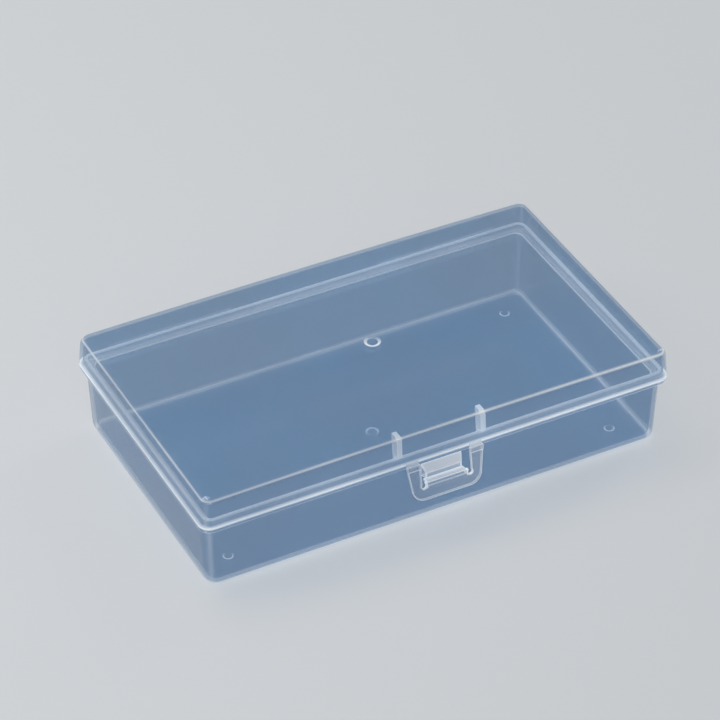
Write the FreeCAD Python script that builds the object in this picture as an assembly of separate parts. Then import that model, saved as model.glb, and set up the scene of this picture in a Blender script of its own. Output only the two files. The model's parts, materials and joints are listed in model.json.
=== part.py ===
import FreeCAD, Part
import math
import os

# Clear moulded craft organizer box, in millimetres.
# Origin at the middle of the face it rests on, +X along the long side, the latch faces -Y, +Z up.

LENGTH = 180.0
WIDTH = 105.0
HEIGHT = 40.5

# Lid: a drafted shell that drops over the upstand of the tray.
LID_EDGE_Z = 28.6
LID_CORNER = 4.2
LID_DRAFT = 0.6
LID_WALL = 1.25
LID_TOP_WALL = 1.2
LID_TOP_FILLET = 3.2

# Tray: a drafted shell under a rim with a flange, an upstand and an inner ledge.
RIM_BOTTOM_Z = 26.5
RIM_TOP_Z = 28.5
FLANGE_INSET = 0.05
WALL_TOP_INSET = 1.8
WALL_BOTTOM_INSET = 2.5
WALL = 1.5
WALL_CORNER = 5.0
FLOOR = 1.4
FLOOR_FILLET = 4.0
UPSTAND_INSET = 1.7
UPSTAND_WALL = 1.2
UPSTAND_TOP_Z = 30.9
UPSTAND_CORNER = 3.4
LEDGE_INSET = 4.6
LEDGE_CORNER = 3.0
LEDGE_RAMP_Z = 24.9
EDGE_BREAK = 0.3
FLANGE_UNDER_ROUND = 0.8

# Marks left by moulding: a sunk gate in the middle of each shell's outer face, and four ejector
# pins on the tray's inner face.
LID_GATE_DIAMETER = 6.0
TRAY_GATE_DIAMETER = 5.0
GATE_DEPTH = 0.3
EJECTOR_DIAMETER = 4.0
EJECTOR_DEPTH = 0.15
EJECTOR_X = 74.7
EJECTOR_Y = 38.0

# Two ribs inside the lid front, their feet just inside the upstand.
RIB_X = 16.0
RIB_THICKNESS = 2.0
RIB_DEPTH_TOP = 5.0
RIB_DEPTH_FOOT = 3.6
RIB_FOOT_Z = 28.8
RIB_CLEARANCE = 0.35

# Catch on the tray front wall: a wedge with a ramp on top and a flat underside.
CATCH_ROOT_HALF = 7.9
CATCH_FRONT_HALF = 6.9
CATCH_TOP_Z = 25.4
CATCH_RIDGE_Z = 22.9
CATCH_UNDER_Z = 20.2
CATCH_FRONT_Y = -52.9

# Latch: a tab that hangs from the lid edge and leans outwards, with a tongue between two slots.
TAB_PIVOT_Y = -53.1
TAB_PIVOT_Z = 28.45
TAB_LEAN_DEG = 11.0
TAB_INNER_Y = -52.6
TAB_THICKNESS = 1.1
TAB_TOP_HALF = 14.7
TAB_BOTTOM_HALF = 12.7
TAB_TOP_DROP = 0.45
TAB_LENGTH = 14.8
TAB_CORNER = 4.0
SHOULDER_HEIGHT = 1.9
SHOULDER_BULGE = 0.3
SLOT_X = 8.9
SLOT_WIDTH = 1.3
KEYHOLE_RADIUS = 0.85
KEYHOLE_DROP = 9.6
TONGUE_TOP_DROP = 8.2
HOOK_HALF = 7.6
HOOK_HEIGHT = 1.0
HOOK_REACH = 2.15
WEB_THICKNESS = 0.35

# Hinge: two thin straps from the tray flange to the lower edge of the lid back.
STRAP_INNER_X = 29.5
STRAP_OUTER_X = 77.2
STRAP_THICKNESS = 0.45
STRAP_LOW_Z = 27.3
STRAP_HIGH_Z = 29.9


def rounded_rectangle(inset, corner, z):
    """Closed wire, inset from the 180 x 105 outline, with round corners."""
    x = LENGTH / 2 - inset
    y = WIDTH / 2 - inset
    diagonal = corner * (1 - math.cos(math.pi / 4))
    edges = []
    for turn in range(4):
        if turn % 2 == 0:
            along, across = y, x
        else:
            along, across = x, y
        points = [
            (across, -along + corner),
            (across, along - corner),
            (across - diagonal, along - diagonal),
            (across - corner, along),
        ]
        angle = turn * math.pi / 2
        turned = [
            FreeCAD.Vector(
                px * math.cos(angle) - py * math.sin(angle),
                px * math.sin(angle) + py * math.cos(angle),
                z,
            )
            for px, py in points
        ]
        edges.append(Part.LineSegment(turned[0], turned[1]).toShape())
        edges.append(Part.Arc(turned[1], turned[2], turned[3]).toShape())
    return Part.Wire(edges)


def block(low, high):
    """Solid between two rounded rectangles, each given as (inset, corner, z)."""
    return Part.makeLoft([rounded_rectangle(*low), rounded_rectangle(*high)], True, True)


def edges_at(shape, z):
    """Edges that lie wholly in the horizontal plane at z."""
    return [
        edge
        for edge in shape.Edges
        if abs(edge.BoundBox.ZMin - z) < 1e-4 and abs(edge.BoundBox.ZMax - z) < 1e-4
    ]


def rounded_at(shape, z, radius):
    return shape.makeFillet(radius, edges_at(shape, z))


def bar(profile, x_low, x_high):
    """Prism along X over a closed outline of (y, z) points."""
    points = [FreeCAD.Vector(x_low, y, z) for y, z in profile + profile[:1]]
    face = Part.Face(Part.makePolygon(points))
    return face.extrude(FreeCAD.Vector(x_high - x_low, 0, 0))


def disc(diameter, height, x, y, z):
    return Part.makeCylinder(diameter / 2, height, FreeCAD.Vector(x, y, z))


def lid_face_y(z):
    """Distance from the middle of the box to the drafted outer face of the lid at height z."""
    return WIDTH / 2 - LID_DRAFT * (z - LID_EDGE_Z) / (HEIGHT - LID_EDGE_Z)


def wall_face_y(z):
    """Distance from the middle of the box to the drafted outer face of the tray at height z."""
    inset = WALL_BOTTOM_INSET + (WALL_TOP_INSET - WALL_BOTTOM_INSET) * z / RIM_BOTTOM_Z
    return WIDTH / 2 - inset


def base_tray():
    outside = block(
        (WALL_BOTTOM_INSET, WALL_CORNER, 0),
        (WALL_TOP_INSET, WALL_CORNER, RIM_BOTTOM_Z),
    )
    outside = rounded_at(outside, 0, FLOOR_FILLET)
    rim = block(
        (FLANGE_INSET, LID_CORNER, RIM_BOTTOM_Z),
        (FLANGE_INSET, LID_CORNER, RIM_TOP_Z),
    )
    rim = rounded_at(rim, RIM_TOP_Z, EDGE_BREAK)
    rim = rounded_at(rim, RIM_BOTTOM_Z, FLANGE_UNDER_ROUND)
    upstand = block(
        (UPSTAND_INSET, UPSTAND_CORNER, RIM_TOP_Z),
        (UPSTAND_INSET, UPSTAND_CORNER, UPSTAND_TOP_Z),
    )
    well_corner = UPSTAND_CORNER - UPSTAND_WALL
    upstand_well = block(
        (UPSTAND_INSET + UPSTAND_WALL, well_corner, RIM_TOP_Z),
        (UPSTAND_INSET + UPSTAND_WALL, well_corner, UPSTAND_TOP_Z),
    )
    upstand = upstand.cut(upstand_well)
    upstand = rounded_at(upstand, UPSTAND_TOP_Z, EDGE_BREAK)
    cavity = block(
        (WALL_BOTTOM_INSET + WALL, WALL_CORNER - WALL, FLOOR),
        (WALL_TOP_INSET + WALL, WALL_CORNER - WALL, LEDGE_RAMP_Z),
    )
    cavity = rounded_at(cavity, FLOOR, FLOOR_FILLET - WALL)
    ramp = block(
        (WALL_TOP_INSET + WALL, WALL_CORNER - WALL, LEDGE_RAMP_Z),
        (LEDGE_INSET, LEDGE_CORNER, RIM_BOTTOM_Z),
    )
    mouth = block(
        (LEDGE_INSET, LEDGE_CORNER, RIM_BOTTOM_Z),
        (LEDGE_INSET, LEDGE_CORNER, RIM_TOP_Z),
    )
    tray = outside.fuse([rim, upstand]).cut(cavity).cut(ramp).cut(mouth)
    tray = tray.cut(disc(TRAY_GATE_DIAMETER, GATE_DEPTH, 0, 0, 0))
    for x in (-EJECTOR_X, EJECTOR_X):
        for y in (-EJECTOR_Y, EJECTOR_Y):
            tray = tray.cut(disc(EJECTOR_DIAMETER, EJECTOR_DEPTH, x, y, FLOOR - EJECTOR_DEPTH))
    return tray.removeSplitter()


def front_catch():
    """Wedge that the hook of the latch snaps under, wider at its root than at its ridge."""
    root = -wall_face_y(CATCH_UNDER_Z)
    profile = [
        (root, CATCH_UNDER_Z),
        (CATCH_FRONT_Y, CATCH_UNDER_Z),
        (CATCH_FRONT_Y, CATCH_RIDGE_Z),
        (-wall_face_y(CATCH_TOP_Z), CATCH_TOP_Z),
    ]
    wedge = bar(profile, -CATCH_ROOT_HALF, CATCH_ROOT_HALF)
    slope = (CATCH_ROOT_HALF - CATCH_FRONT_HALF) / (root - CATCH_FRONT_Y)
    for side in (-1, 1):
        beyond = 1.0
        corner_a = FreeCAD.Vector(side * CATCH_ROOT_HALF, root, 0)
        corner_b = FreeCAD.Vector(side * CATCH_FRONT_HALF, CATCH_FRONT_Y, 0)
        outer = side * (CATCH_ROOT_HALF + beyond)
        reach = CATCH_FRONT_Y - beyond
        corner_c = FreeCAD.Vector(side * (CATCH_FRONT_HALF - slope * beyond), reach, 0)
        corner_d = FreeCAD.Vector(outer, reach, 0)
        corner_e = FreeCAD.Vector(outer, root, 0)
        outline = Part.makePolygon([corner_a, corner_b, corner_c, corner_d, corner_e, corner_a])
        waste = Part.Face(outline).extrude(FreeCAD.Vector(0, 0, HEIGHT))
        wedge = wedge.cut(waste)
    return wedge


def lid_inside():
    """Space under the lid, which the lid is hollowed by and the ribs are trimmed to."""
    ceiling = HEIGHT - LID_TOP_WALL
    inner_corner = LID_CORNER - LID_WALL
    space = block(
        (LID_WALL, inner_corner, LID_EDGE_Z),
        (LID_WALL + LID_DRAFT, inner_corner, ceiling),
    )
    return rounded_at(space, ceiling, LID_TOP_FILLET - LID_WALL)


def lid_cover():
    outside = block((0, LID_CORNER, LID_EDGE_Z), (LID_DRAFT, LID_CORNER, HEIGHT))
    outside = rounded_at(outside, HEIGHT, LID_TOP_FILLET)
    lid = outside.cut(lid_inside())
    return lid.cut(disc(LID_GATE_DIAMETER, GATE_DEPTH, 0, 0, HEIGHT - GATE_DEPTH))


def latch_rib(side):
    """Gusset under the lid roof, its foot notched to pass the upstand."""
    wall = -(WIDTH / 2 - LID_WALL)
    upstand_inside = -(WIDTH / 2 - UPSTAND_INSET - UPSTAND_WALL)
    notch = upstand_inside + RIB_CLEARANCE
    notch_z = UPSTAND_TOP_Z + RIB_CLEARANCE
    profile = [
        (wall, notch_z),
        (notch, notch_z),
        (notch, RIB_FOOT_Z),
        (wall + RIB_DEPTH_FOOT, RIB_FOOT_Z),
        (wall + RIB_DEPTH_TOP, HEIGHT),
        (wall, HEIGHT),
    ]
    middle = side * RIB_X
    rib = bar(profile, middle - RIB_THICKNESS / 2, middle + RIB_THICKNESS / 2)
    return rib.common(lid_inside())


def leaned(shape):
    """Tab parts are drawn upright and then swung outwards about the hinge line."""
    shape.rotate(
        FreeCAD.Vector(0, TAB_PIVOT_Y, TAB_PIVOT_Z),
        FreeCAD.Vector(1, 0, 0),
        -TAB_LEAN_DEG,
    )
    return shape


def tab_prism(points, thickness=TAB_THICKNESS):
    """Prism through the thickness of the tab over (x, drop below the hinge line) points."""
    corners = [
        FreeCAD.Vector(x, TAB_INNER_Y, TAB_PIVOT_Z - drop) for x, drop in points + points[:1]
    ]
    return Part.Face(Part.makePolygon(corners)).extrude(FreeCAD.Vector(0, -thickness, 0))


def slot_edges():
    return SLOT_X - SLOT_WIDTH / 2, SLOT_X + SLOT_WIDTH / 2


def keyhole(side):
    centre = FreeCAD.Vector(side * SLOT_X, TAB_INNER_Y, TAB_PIVOT_Z - KEYHOLE_DROP)
    return Part.makeCylinder(KEYHOLE_RADIUS, TAB_THICKNESS, centre, FreeCAD.Vector(0, -1, 0))


def latch_tab():
    plate = tab_prism([
        (-TAB_TOP_HALF, TAB_TOP_DROP),
        (TAB_TOP_HALF, TAB_TOP_DROP),
        (TAB_BOTTOM_HALF, TAB_LENGTH),
        (-TAB_BOTTOM_HALF, TAB_LENGTH),
    ])
    bottom_z = TAB_PIVOT_Z - TAB_LENGTH
    lower_corners = [
        edge
        for edge in plate.Edges
        if abs(edge.BoundBox.ZMin - bottom_z) < 1e-4
        and abs(edge.BoundBox.XMax - edge.BoundBox.XMin) < 1e-4
        and abs(edge.BoundBox.ZMax - bottom_z) < 1e-4
    ]
    plate = plate.makeFillet(TAB_CORNER, lower_corners)
    inner, outer = slot_edges()
    window = tab_prism([
        (-outer, TAB_TOP_DROP),
        (outer, TAB_TOP_DROP),
        (outer, KEYHOLE_DROP),
        (-outer, KEYHOLE_DROP),
    ])
    plate = plate.cut(window)
    shoulder_low = TAB_PIVOT_Z - TAB_TOP_DROP - SHOULDER_HEIGHT
    for side in (-1, 1):
        plate = plate.cut(keyhole(side))
        shoulder = Part.makeBox(
            TAB_TOP_HALF - outer,
            TAB_THICKNESS + SHOULDER_BULGE,
            SHOULDER_HEIGHT,
            FreeCAD.Vector(
                outer if side > 0 else -TAB_TOP_HALF,
                TAB_INNER_Y - TAB_THICKNESS - SHOULDER_BULGE,
                shoulder_low,
            ),
        )
        front_edges = [
            edge
            for edge in shoulder.Edges
            if abs(edge.BoundBox.YMax - (TAB_INNER_Y - TAB_THICKNESS - SHOULDER_BULGE)) < 1e-4
            and edge.BoundBox.XMax - edge.BoundBox.XMin > 1
        ]
        shoulder = shoulder.makeFillet(SHOULDER_BULGE, front_edges)
        plate = plate.fuse(shoulder)
    return leaned(plate.removeSplitter())


def latch_tongue():
    """Springy strip between the slots, with the hook on its inner face."""
    inner, outer = slot_edges()
    strip = tab_prism([
        (-outer, TONGUE_TOP_DROP),
        (outer, TONGUE_TOP_DROP),
        (outer, KEYHOLE_DROP),
        (-outer, KEYHOLE_DROP),
    ])
    for side in (-1, 1):
        strip = strip.cut(keyhole(side))
        strip = strip.cut(Part.makeBox(
            SLOT_WIDTH,
            TAB_THICKNESS,
            KEYHOLE_DROP - TONGUE_TOP_DROP,
            FreeCAD.Vector(
                side * SLOT_X - SLOT_WIDTH / 2,
                TAB_INNER_Y - TAB_THICKNESS,
                TAB_PIVOT_Z - KEYHOLE_DROP,
            ),
        ))
    top_z = TAB_PIVOT_Z - TONGUE_TOP_DROP
    hook = bar(
        [
            (TAB_INNER_Y, top_z),
            (TAB_INNER_Y + HOOK_REACH, top_z),
            (TAB_INNER_Y + HOOK_REACH, top_z - HOOK_HEIGHT / 2),
            (TAB_INNER_Y, top_z - HOOK_HEIGHT - HOOK_REACH / 2),
        ],
        -HOOK_HALF,
        HOOK_HALF,
    )
    return leaned(strip.fuse(hook).removeSplitter())


def on_tab(y, z):
    """Place of an upright tab point after the lean, as (y, z)."""
    angle = math.radians(TAB_LEAN_DEG)
    away = y - TAB_PIVOT_Y
    up = z - TAB_PIVOT_Z
    return (
        TAB_PIVOT_Y + away * math.cos(angle) + up * math.sin(angle),
        TAB_PIVOT_Z - away * math.sin(angle) + up * math.cos(angle),
    )


def latch_web(side):
    """Thin fold line from the lower edge of the lid to one shoulder of the tab."""
    inner, outer = slot_edges()
    top_z = TAB_PIVOT_Z - TAB_TOP_DROP
    middle_y = TAB_INNER_Y - TAB_THICKNESS / 2
    profile = [
        (-lid_face_y(LID_EDGE_Z), LID_EDGE_Z),
        (-lid_face_y(LID_EDGE_Z + WEB_THICKNESS), LID_EDGE_Z + WEB_THICKNESS),
        on_tab(middle_y - WEB_THICKNESS / 2, top_z),
        on_tab(middle_y + WEB_THICKNESS / 2, top_z),
    ]
    ends = sorted((side * outer, side * TAB_TOP_HALF))
    return bar(profile, ends[0], ends[1])


def hinge_strap(side):
    """Thin strap that bends where the lid swings, from the tray flange to the lid back."""
    flange_y = WIDTH / 2 - FLANGE_INSET
    outer_y = WIDTH / 2 + STRAP_THICKNESS
    profile = [
        (flange_y, STRAP_LOW_Z + EDGE_BREAK / 2),
        (flange_y, RIM_TOP_Z - EDGE_BREAK),
        (lid_face_y(LID_EDGE_Z), LID_EDGE_Z),
        (lid_face_y(STRAP_HIGH_Z), STRAP_HIGH_Z),
        (outer_y, STRAP_HIGH_Z - STRAP_THICKNESS / 2),
        (outer_y, STRAP_LOW_Z + STRAP_THICKNESS),
    ]
    ends = sorted((side * STRAP_INNER_X, side * STRAP_OUTER_X))
    return bar(profile, ends[0], ends[1])


def export(name, shape):
    print(name, "valid", shape.isValid(), "solids", len(shape.Solids), "volume", round(shape.Volume, 1))
    shape.exportStep(os.path.join("parts", name + ".step"))


os.makedirs("parts", exist_ok=True)
export("base_tray", base_tray())
export("front_catch", front_catch())
export("lid_cover", lid_cover())
export("latch_tab", latch_tab())
export("latch_tongue", latch_tongue())
for side, label in ((-1, "left"), (1, "right")):
    export("latch_rib_" + label, latch_rib(side))
    export("latch_web_" + label, latch_web(side))
    export("hinge_strap_" + label, hinge_strap(side))
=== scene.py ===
import json
import math

import bmesh
import bpy
from bpy.props import FloatProperty, FloatVectorProperty, IntProperty, PointerProperty
from bpy.types import Operator, Panel, PropertyGroup
from mathutils import Matrix, Vector
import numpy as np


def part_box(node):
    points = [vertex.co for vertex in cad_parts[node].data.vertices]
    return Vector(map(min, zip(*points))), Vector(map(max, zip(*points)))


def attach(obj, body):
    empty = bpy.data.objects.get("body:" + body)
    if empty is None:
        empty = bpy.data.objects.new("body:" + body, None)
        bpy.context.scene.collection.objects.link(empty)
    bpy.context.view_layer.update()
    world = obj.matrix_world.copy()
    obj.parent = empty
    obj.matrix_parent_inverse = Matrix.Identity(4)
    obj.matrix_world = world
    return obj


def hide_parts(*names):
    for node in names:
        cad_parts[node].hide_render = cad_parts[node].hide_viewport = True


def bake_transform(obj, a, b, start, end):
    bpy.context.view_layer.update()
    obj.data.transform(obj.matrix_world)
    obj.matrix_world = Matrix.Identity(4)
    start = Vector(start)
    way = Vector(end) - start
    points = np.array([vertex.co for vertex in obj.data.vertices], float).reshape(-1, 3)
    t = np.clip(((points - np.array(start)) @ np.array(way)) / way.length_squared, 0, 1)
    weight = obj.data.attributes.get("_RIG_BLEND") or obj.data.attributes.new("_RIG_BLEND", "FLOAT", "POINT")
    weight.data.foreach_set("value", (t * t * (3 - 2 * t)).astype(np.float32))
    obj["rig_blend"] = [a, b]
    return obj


bl_info = {
    "name": "Clear Craft Box",
    "version": (1, 0, 0),
    "blender": (4, 5, 0),
    "location": "View3D > Sidebar > Craft Box",
    "description": "Builds a clear hinged craft organizer box round its packed frame",
    "category": "Object",
}

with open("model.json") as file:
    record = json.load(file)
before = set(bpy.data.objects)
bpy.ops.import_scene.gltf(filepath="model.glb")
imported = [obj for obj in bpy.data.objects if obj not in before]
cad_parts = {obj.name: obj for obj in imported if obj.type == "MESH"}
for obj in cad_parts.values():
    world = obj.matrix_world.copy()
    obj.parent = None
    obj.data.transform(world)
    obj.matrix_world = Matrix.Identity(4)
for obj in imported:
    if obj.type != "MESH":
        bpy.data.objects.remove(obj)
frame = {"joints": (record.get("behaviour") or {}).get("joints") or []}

MM = 0.001
QUARTER = math.pi / 2

# Vertex attribute that holds the milky haze in the plastic and the painted highlights along its edges, from
# 0 (clear) to 1 (white).
EDGE = "bright_edge"

# Places that the looks share with the frame.
LID_LOW, LID_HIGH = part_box("lid_cover")
TRAY_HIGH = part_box("base_tray")[1]
HALF_LENGTH = LID_HIGH.x
HALF_WIDTH = LID_HIGH.y
HEIGHT = LID_HIGH.z
LID_EDGE_Z = LID_LOW.z
UPSTAND_TOP_Z = TRAY_HIGH.z

# Rings across the flat roof and floor, as distances from the outline of the lid. The roof can
# only be crowned where it has rings.
FLAT_INSETS = (12 * MM, 24 * MM, 36 * MM, 47 * MM)
FLAT_CORNER = 3 * MM

# Side of each round mark where its painted highlight crescent is brightest.
MARK_HIGHLIGHT_SIDE = Vector((-0.46, -0.89))

# Lamps as name, place, size and power; each is aimed at the middle of the floor.
LAMPS = (
    ("overhead_softbox", (-0.25, 0.5, 1.3), (0.8, 0.8), 14),
    ("front_softbox", (-0.5, -1.1, 0.75), (0.7, 0.5), 7),
    ("left_softbox", (-1.0, 0.45, 0.95), (0.5, 0.5), 6),
    ("right_strip", (1.1, 0.4, 0.7), (0.3, 1.0), 5),
)

JOINTS = {joint["name"]: joint for joint in frame["joints"]}
TAB_PIVOT = Vector(JOINTS["latch_hinge"]["pos_m"])


class BoxSizes(PropertyGroup):
    """Sizes of the moulding that its looks depend on."""

    arc_steps: IntProperty(
        name="Corner Steps", description="Faces along each round corner", default=10, min=2
    )
    fillet_steps: IntProperty(
        name="Fillet Steps", description="Faces across each large fillet", default=10, min=2
    )
    side_cuts: IntProperty(
        name="Side Cuts", description="Cuts along each straight side", default=11, min=0
    )
    edge_break: FloatProperty(
        name="Edge Break", description="Rounding of small moulded edges",
        default=0.3 * MM, unit="LENGTH",
    )
    lid_corner: FloatProperty(
        name="Lid Corner", description="Corner radius of the lid and flange in plan",
        default=4.2 * MM, unit="LENGTH",
    )
    lid_wall: FloatProperty(
        name="Lid Wall", description="Thickness of the lid skirt", default=1.25 * MM, unit="LENGTH"
    )
    lid_roof: FloatProperty(
        name="Lid Roof", description="Thickness of the lid roof", default=1.2 * MM, unit="LENGTH"
    )
    lid_draft: FloatProperty(
        name="Lid Draft", description="Inward lean of the skirt over its height",
        default=0.6 * MM, unit="LENGTH",
    )
    lid_fillet: FloatProperty(
        name="Lid Fillet", description="Rounding round the top of the lid",
        default=3.2 * MM, unit="LENGTH",
    )
    lid_crown: FloatProperty(
        name="Lid Crown", description="Drop of the roof from its middle to its short ends",
        default=0.7 * MM, unit="LENGTH",
    )
    wall_corner: FloatProperty(
        name="Tray Corner", description="Corner radius of the tray wall in plan",
        default=5.0 * MM, unit="LENGTH",
    )
    wall_top_inset: FloatProperty(
        name="Wall Top Inset", description="Tray wall inside the lid outline, under the flange",
        default=1.8 * MM, unit="LENGTH",
    )
    wall_foot_inset: FloatProperty(
        name="Wall Foot Inset", description="Tray wall inside the lid outline, at the floor",
        default=2.5 * MM, unit="LENGTH",
    )
    wall: FloatProperty(
        name="Tray Wall", description="Thickness of the tray wall", default=1.5 * MM, unit="LENGTH"
    )
    floor: FloatProperty(
        name="Tray Floor", description="Thickness of the tray floor",
        default=1.4 * MM, unit="LENGTH",
    )
    floor_fillet: FloatProperty(
        name="Floor Fillet", description="Outer rounding between floor and wall",
        default=4.0 * MM, unit="LENGTH",
    )
    rim_bottom: FloatProperty(
        name="Rim Bottom", description="Height of the underside of the flange",
        default=26.5 * MM, unit="LENGTH",
    )
    rim_round: FloatProperty(
        name="Rim Round", description="Rounding of the lower edge of the flange",
        default=0.8 * MM, unit="LENGTH",
    )
    rim_top: FloatProperty(
        name="Rim Top", description="Height of the top of the flange",
        default=28.5 * MM, unit="LENGTH",
    )
    upstand_inset: FloatProperty(
        name="Upstand Inset", description="Upstand inside the lid outline",
        default=1.7 * MM, unit="LENGTH",
    )
    upstand_wall: FloatProperty(
        name="Upstand Wall", description="Thickness of the upstand", default=1.2 * MM, unit="LENGTH"
    )
    upstand_corner: FloatProperty(
        name="Upstand Corner", description="Corner radius of the upstand in plan",
        default=3.4 * MM, unit="LENGTH",
    )
    ledge_inset: FloatProperty(
        name="Ledge Inset", description="Inner ledge inside the lid outline",
        default=4.6 * MM, unit="LENGTH",
    )
    ledge_corner: FloatProperty(
        name="Ledge Corner", description="Corner radius of the inner ledge in plan",
        default=3.0 * MM, unit="LENGTH",
    )
    ledge_ramp: FloatProperty(
        name="Ledge Ramp", description="Height where the ledge's sloped underside starts",
        default=24.9 * MM, unit="LENGTH",
    )


class MarkSizes(PropertyGroup):
    """Marks left by moulding."""

    lid_gate: FloatProperty(
        name="Lid Gate", description="Diameter of the sunk gate on the lid",
        default=6.0 * MM, unit="LENGTH",
    )
    tray_gate: FloatProperty(
        name="Tray Gate", description="Diameter of the sunk gate under the tray",
        default=5.0 * MM, unit="LENGTH",
    )
    gate_depth: FloatProperty(
        name="Gate Depth", description="Depth of each sunk gate", default=0.3 * MM, unit="LENGTH"
    )
    ejector: FloatProperty(
        name="Ejector", description="Diameter of each ejector mark", default=4.0 * MM, unit="LENGTH"
    )
    ejector_depth: FloatProperty(
        name="Ejector Depth", description="Depth of each ejector mark",
        default=0.15 * MM, unit="LENGTH",
    )
    ejector_x: FloatProperty(
        name="Ejector X", description="Ejector marks from the middle, along the long side",
        default=74.7 * MM, unit="LENGTH",
    )
    ejector_y: FloatProperty(
        name="Ejector Y", description="Ejector marks from the middle, along the short side",
        default=38.0 * MM, unit="LENGTH",
    )


class LatchSizes(PropertyGroup):
    """Sizes of the latch, upright before it leans out about its hinge line."""

    lean: FloatProperty(
        name="Lean", description="Outward lean of the shut tab",
        default=math.radians(11.0), subtype="ANGLE",
    )
    thickness: FloatProperty(
        name="Thickness", description="Thickness of the tab", default=1.1 * MM, unit="LENGTH"
    )
    inner_offset: FloatProperty(
        name="Inner Offset", description="Inner face of the tab behind its hinge line",
        default=0.5 * MM, unit="LENGTH",
    )
    top_half: FloatProperty(
        name="Top Half Width", description="Half width of the tab at its shoulders",
        default=14.7 * MM, unit="LENGTH",
    )
    foot_half: FloatProperty(
        name="Foot Half Width", description="Half width of the tab at its foot",
        default=12.7 * MM, unit="LENGTH",
    )
    top_drop: FloatProperty(
        name="Top Drop", description="Top of the tab below its hinge line",
        default=0.45 * MM, unit="LENGTH",
    )
    length: FloatProperty(
        name="Length", description="Foot of the tab below its hinge line",
        default=14.8 * MM, unit="LENGTH",
    )
    corner: FloatProperty(
        name="Corner", description="Radius of the two lower corners",
        default=4.0 * MM, unit="LENGTH",
    )
    shoulder: FloatProperty(
        name="Shoulder", description="Height of the thick shoulders",
        default=1.9 * MM, unit="LENGTH",
    )
    shoulder_bulge: FloatProperty(
        name="Shoulder Bulge", description="How far the shoulders stand proud",
        default=0.3 * MM, unit="LENGTH",
    )
    slot_x: FloatProperty(
        name="Slot X", description="Middle of each slot", default=8.9 * MM, unit="LENGTH"
    )
    slot_width: FloatProperty(
        name="Slot Width", description="Width of each slot", default=1.3 * MM, unit="LENGTH"
    )
    keyhole: FloatProperty(
        name="Keyhole", description="Radius of the round slot ends",
        default=0.85 * MM, unit="LENGTH",
    )
    keyhole_drop: FloatProperty(
        name="Keyhole Drop", description="Slot ends below the hinge line",
        default=9.6 * MM, unit="LENGTH",
    )
    tongue_drop: FloatProperty(
        name="Tongue Drop", description="Top of the tongue below the hinge line",
        default=8.2 * MM, unit="LENGTH",
    )
    hook_half: FloatProperty(
        name="Hook Half Width", description="Half width of the hook",
        default=7.6 * MM, unit="LENGTH",
    )
    hook_height: FloatProperty(
        name="Hook Height", description="Height of the hook's root",
        default=2.1 * MM, unit="LENGTH",
    )
    hook_reach: FloatProperty(
        name="Hook Reach", description="How far the hook reaches in from the tab",
        default=2.15 * MM, unit="LENGTH",
    )
    web: FloatProperty(
        name="Web", description="Thickness of the fold lines", default=0.35 * MM, unit="LENGTH"
    )
    catch_taper: FloatProperty(
        name="Catch Taper", description="How much narrower the catch is at its front, each side",
        default=1.0 * MM, unit="LENGTH",
    )
    catch_ridge: FloatProperty(
        name="Catch Ridge", description="Height of the catch's ridge",
        default=22.9 * MM, unit="LENGTH",
    )
    rib_clearance: FloatProperty(
        name="Rib Clearance", description="Gap between the rib feet and the upstand",
        default=0.35 * MM, unit="LENGTH",
    )
    rib_foot: FloatProperty(
        name="Rib Foot", description="Depth of the rib feet from the lid wall",
        default=3.6 * MM, unit="LENGTH",
    )


class StageSettings(PropertyGroup):
    """Camera, floor and lamps."""

    lens: FloatProperty(name="Lens", description="Focal length in millimetres", default=175.5)
    camera_place: FloatVectorProperty(
        name="Camera Place", description="Where the camera stands",
        default=(-0.4450, -0.8582, 0.7812), subtype="XYZ", unit="LENGTH",
    )
    camera_pitch: FloatProperty(
        name="Camera Pitch", description="Tilt down from the level",
        default=math.radians(37.766), subtype="ANGLE",
    )
    camera_heading: FloatProperty(
        name="Camera Heading", description="Turn of the view away from straight on",
        default=math.radians(-27.154), subtype="ANGLE",
    )
    camera_roll: FloatProperty(
        name="Camera Roll", description="Roll of the camera",
        default=math.radians(-0.160), subtype="ANGLE",
    )
    floor_colour: FloatVectorProperty(
        name="Floor", description="Colour of the floor", default=(0.44, 0.45, 0.46),
        subtype="COLOR", min=0, max=1,
    )
    sky_colour: FloatVectorProperty(
        name="Surroundings", description="Colour of the soft light from all round",
        default=(0.80, 0.85, 0.92), subtype="COLOR", min=0, max=1,
    )
    sky_strength: FloatProperty(
        name="Surroundings Strength", description="Strength of the soft light", default=0.30
    )


class FinishSettings(PropertyGroup):
    """Colours of the plastic."""

    clear_tint: FloatVectorProperty(
        name="Clear Tint", description="Colour of light that passes one face",
        default=(0.77, 0.80, 0.84), subtype="COLOR", min=0, max=1,
    )
    shadow_tint: FloatVectorProperty(
        name="Shadow Tint", description="Colour of lamp light behind one face",
        default=(0.95, 0.96, 0.97), subtype="COLOR", min=0, max=1,
    )
    haze_tint: FloatVectorProperty(
        name="Haze Tint", description="Colour of the thin haze in the walls",
        default=(0.22, 0.48, 0.76), subtype="COLOR", min=0, max=1,
    )
    # White of the milky small parts and of the painted highlights along edges.
    milk_and_highlight_tint: FloatVectorProperty(
        name="Milk Tint", description="Colour of the milk along edges and in small parts",
        default=(1.0, 0.985, 0.96), subtype="COLOR", min=0, max=1,
    )
    haze: FloatProperty(
        name="Haze", description="Share of light that a wall scatters", default=0.10
    )
    # Cloudiness of the milky small parts and of the painted highlights along edges.
    edge_haze_and_highlight: FloatProperty(
        name="Edge Haze", description="The same along edges and in small parts", default=0.85
    )
    scuffs: FloatProperty(
        name="Scuffs", description="Milk in the fine scratches from handling", default=0.12
    )
    roughness: FloatProperty(name="Roughness", description="Polish of the faces", default=0.08)


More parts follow.
